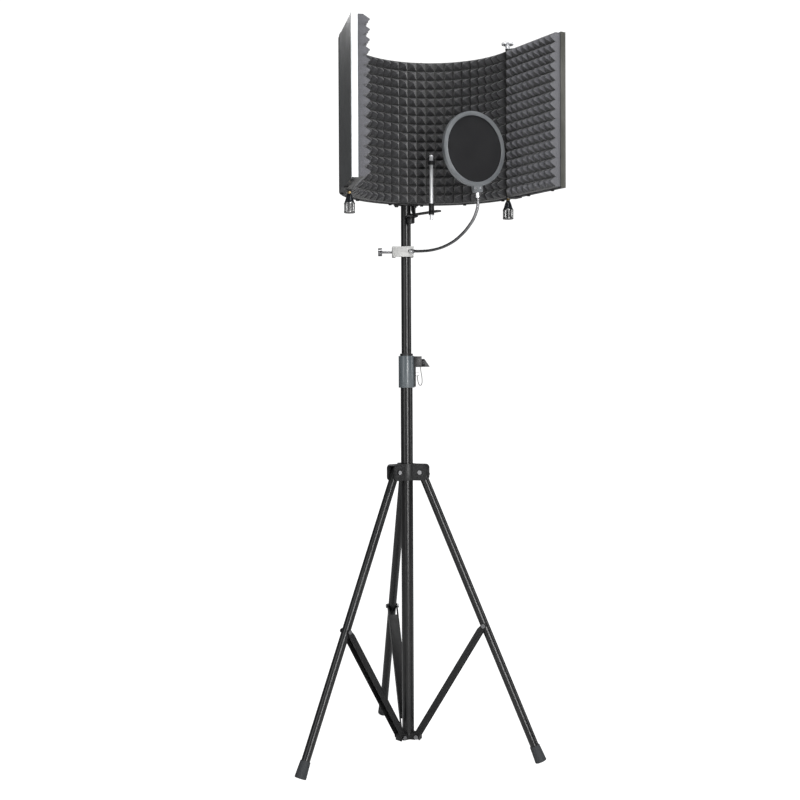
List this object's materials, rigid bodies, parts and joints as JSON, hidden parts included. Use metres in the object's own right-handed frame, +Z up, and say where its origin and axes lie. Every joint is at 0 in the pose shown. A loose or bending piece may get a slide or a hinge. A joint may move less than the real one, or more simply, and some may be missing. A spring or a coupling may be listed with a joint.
{
  "type": "microphone isolation shield",
  "caption": "Three-panel curved microphone isolation shield on a folding tripod stand, with microphone arm and gooseneck pop filter.",
  "frame": {"origin": "on the floor, under the axis of the mast", "axes": "+Z up along the mast; the shield opens towards -Y, so +X is to the right of someone who faces into the shield"},
  "size_m": [0.5696, 0.6733, 1.6262],
  "materials": {
    "black_tube": "glossy black enamel on steel tube",
    "black_steel": "satin black powder coat",
    "shell": "satin black coated aluminium sheet",
    "foam": "charcoal open-cell acoustic foam",
    "bright_strip": "satin anodised",
    "dark_strip": "dark satin coating",
    "chrome": "polished",
    "brass": "machined",
    "plastic": "textured black moulding",
    "collar": "satin grey",
    "knob": "knurled",
    "rubber": "matt",
    "clamp": "satin cast",
    "gooseneck": "black chrome",
    "hoop": "satin",
    "mesh": "woven nylon"
  },
  "bodies": {
    "stand": {"lower_tube": "black_tube", "base_hub": "black_steel", "clutch_collar": "collar", "clutch_block": "plastic", "clutch_bushing": "plastic"},
    "leg_hub": {"leg_hub": "plastic", "leg_hub_pins": "chrome"},
    "hub_knob": {"leg_hub_knob": "plastic"},
    "clutch_knob": {"clutch_knob": "plastic"},
    "locking_pin": {"locking_pin": "chrome", "pin_lanyard": "black_steel"},
    "mast": {"mast_tube": "black_tube", "mast_stop": "plastic"},
    "shield": {"shield_bracket": "black_steel", "centre_shell": "shell", "centre_foam": "foam", "centre_screws": "black_steel", "left_hinge_rod": "chrome", "right_hinge_rod": "chrome", "rod_nuts": "brass"},
    "left_wing": {"left_wing_shell": "shell", "left_foam": "foam", "left_end_strip": "bright_strip", "left_rim_screws": "black_steel"},
    "right_wing": {"right_wing_shell": "shell", "right_foam": "foam", "right_end_strip": "dark_strip", "right_rim_screws": "black_steel"},
    "left_hinge_knob": {"left_hinge_knob": "knob"},
    "right_hinge_knob": {"right_hinge_knob": "knob"},
    "left_top_nut": {"left_top_nut": "chrome"},
    "right_top_nut": {"right_top_nut": "chrome"},
    "mic_arm": {"mic_arm": "black_steel", "mic_stem": "chrome", "stem_nuts": "black_steel"},
    "arm_knob": {"arm_knob": "plastic"},
    "lock_ring": {"thread_lock_ring": "plastic"},
    "pop_clamp": {"pop_clamp": "clamp", "gooseneck": "gooseneck", "goose_ferrules": "chrome"},
    "pop_clamp_screw": {"pop_clamp_screw": "chrome"},
    "pop_filter": {"filter_front_ring": "hoop", "filter_back_ring": "hoop", "filter_meshes": "mesh", "filter_screws": "chrome"},
    "left_leg": {"left_leg": "black_tube", "left_foot": "rubber", "left_strut_bolt": "chrome"},
    "left_strut": {"left_strut": "black_steel", "left_base_bolt": "chrome"},
    "right_leg": {"right_leg": "black_tube", "right_foot": "rubber", "right_strut_bolt": "chrome"},
    "right_strut": {"right_strut": "black_steel", "right_base_bolt": "chrome"},
    "back_leg": {"back_leg": "black_tube", "back_foot": "rubber", "back_strut_bolt": "chrome"},
    "back_strut": {"back_strut": "black_steel", "back_base_bolt": "chrome"}
  },
  "joints": [
    {"name": "stand_fold", "type": "slide", "parent": "stand", "child": "leg_hub", "axis": [0, 0, 1], "range_m": [0, 0.0735]},
    {"name": "left_leg_fold", "type": "hinge", "parent": "leg_hub", "child": "left_leg", "pos_m": [-0.03301, -0.01435, 0.657], "axis": [-0.3987, 0.9171, 0], "range_deg": [-20.5, 0]},
    {"name": "left_strut_fold", "type": "hinge", "parent": "left_leg", "child": "left_strut", "pos_m": [-0.17089, -0.0743, 0.30801], "axis": [-0.3987, 0.9171, 0], "range_deg": [0, 46]},
    {"name": "right_leg_fold", "type": "hinge", "parent": "leg_hub", "child": "right_leg", "pos_m": [0.02894, -0.02141, 0.657], "axis": [-0.5948, -0.8039, 0], "range_deg": [-20.5, 0]},
    {"name": "right_strut_fold", "type": "hinge", "parent": "right_leg", "child": "right_strut", "pos_m": [0.14979, -0.11084, 0.30801], "axis": [-0.5948, -0.8039, 0], "range_deg": [0, 46]},
    {"name": "back_leg_fold", "type": "hinge", "parent": "leg_hub", "child": "back_leg", "pos_m": [0.00407, 0.03577, 0.657], "axis": [0.9936, -0.1132, 0], "range_deg": [-20.5, 0]},
    {"name": "back_strut_fold", "type": "hinge", "parent": "back_leg", "child": "back_strut", "pos_m": [0.02109, 0.18515, 0.30801], "axis": [0.9936, -0.1132, 0], "range_deg": [0, 46]},
    {"name": "hub_knob_turn", "type": "hinge", "parent": "leg_hub", "child": "hub_knob", "pos_m": [0.03668, 0.01595, 0.657], "axis": [0.9171, 0.3987, 0], "continuous": true},
    {"name": "clutch_knob_turn", "type": "hinge", "parent": "stand", "child": "clutch_knob", "pos_m": [0.03864, -0.01035, 0.911], "axis": [0.9659, -0.2588, 0], "continuous": true},
    {"name": "locking_pin_pull", "type": "slide", "parent": "stand", "child": "locking_pin", "axis": [0.9659, -0.2588, 0], "range_m": [0, 0.014]},
    {"name": "mast_height", "type": "slide", "parent": "stand", "child": "mast", "axis": [0, 0, 1], "range_m": [-0.2, 0.38]},
    {"name": "shield_turn", "type": "hinge", "parent": "mast", "child": "shield", "pos_m": [0, 0, 1.25], "axis": [0, 0, 1], "range_deg": [-5.5, 14]},
    {"name": "left_wing_fold", "type": "hinge", "parent": "shield", "child": "left_wing", "pos_m": [-0.18495, -0.17236, 1.28], "axis": [0, 0, 1], "range_deg": [-7.5, 33]},
    {"name": "left_hinge_knob_turn", "type": "hinge", "parent": "shield", "child": "left_hinge_knob", "pos_m": [-0.18495, -0.17236, 1.28], "axis": [0, 0, 1], "continuous": true},
    {"name": "left_top_nut_turn", "type": "hinge", "parent": "shield", "child": "left_top_nut", "pos_m": [-0.18495, -0.17236, 1.62], "axis": [0, 0, 1], "continuous": true},
    {"name": "right_wing_fold", "type": "hinge", "parent": "shield", "child": "right_wing", "pos_m": [0.18495, -0.17236, 1.28], "axis": [0, 0, 1], "range_deg": [-22, 2]},
    {"name": "right_hinge_knob_turn", "type": "hinge", "parent": "shield", "child": "right_hinge_knob", "pos_m": [0.18495, -0.17236, 1.28], "axis": [0, 0, 1], "continuous": true},
    {"name": "right_top_nut_turn", "type": "hinge", "parent": "shield", "child": "right_top_nut", "pos_m": [0.18495, -0.17236, 1.62], "axis": [0, 0, 1], "continuous": true},
    {"name": "mic_arm_swing", "type": "hinge", "parent": "shield", "child": "mic_arm", "pos_m": [0.003, -0.025, 1.253], "axis": [0, 0, 1], "range_deg": [-40, 30]},
    {"name": "arm_knob_turn", "type": "hinge", "parent": "shield", "child": "arm_knob", "pos_m": [0.003, -0.025, 1.241], "axis": [0, 0, 1], "continuous": true},
    {"name": "lock_ring_turn", "type": "hinge", "parent": "mic_arm", "child": "lock_ring", "pos_m": [0.03113, -0.09128, 1.3634], "axis": [0, 0, 1], "continuous": true},
    {"name": "pop_clamp_swing", "type": "hinge", "parent": "mast", "child": "pop_clamp", "pos_m": [0, 0, 1.17], "axis": [0, 0, 1], "range_deg": [-16, 5.5]},
    {"name": "pop_clamp_screw_turn", "type": "hinge", "parent": "pop_clamp", "child": "pop_clamp_screw", "pos_m": [-0.03864, 0.01035, 1.17], "axis": [-0.9659, 0.2588, 0], "continuous": true},
    {"name": "filter_swivel", "type": "hinge", "parent": "pop_clamp", "child": "pop_filter", "pos_m": [0.07651, -0.2591, 1.27948], "axis": [-0.0746, -0.0615, 0.9953], "range_deg": [-35, 35]}
  ],
  "couplings": [
    {"joint": "left_leg_fold", "follows": "stand_fold", "rad_per_m": -4.7948},
    {"joint": "left_strut_fold", "follows": "stand_fold", "rad_per_m": 10.747},
    {"joint": "right_leg_fold", "follows": "stand_fold", "rad_per_m": -4.7948},
    {"joint": "right_strut_fold", "follows": "stand_fold", "rad_per_m": 10.747},
    {"joint": "back_leg_fold", "follows": "stand_fold", "rad_per_m": -4.7948},
    {"joint": "back_strut_fold", "follows": "stand_fold", "rad_per_m": 10.747}
  ]
}
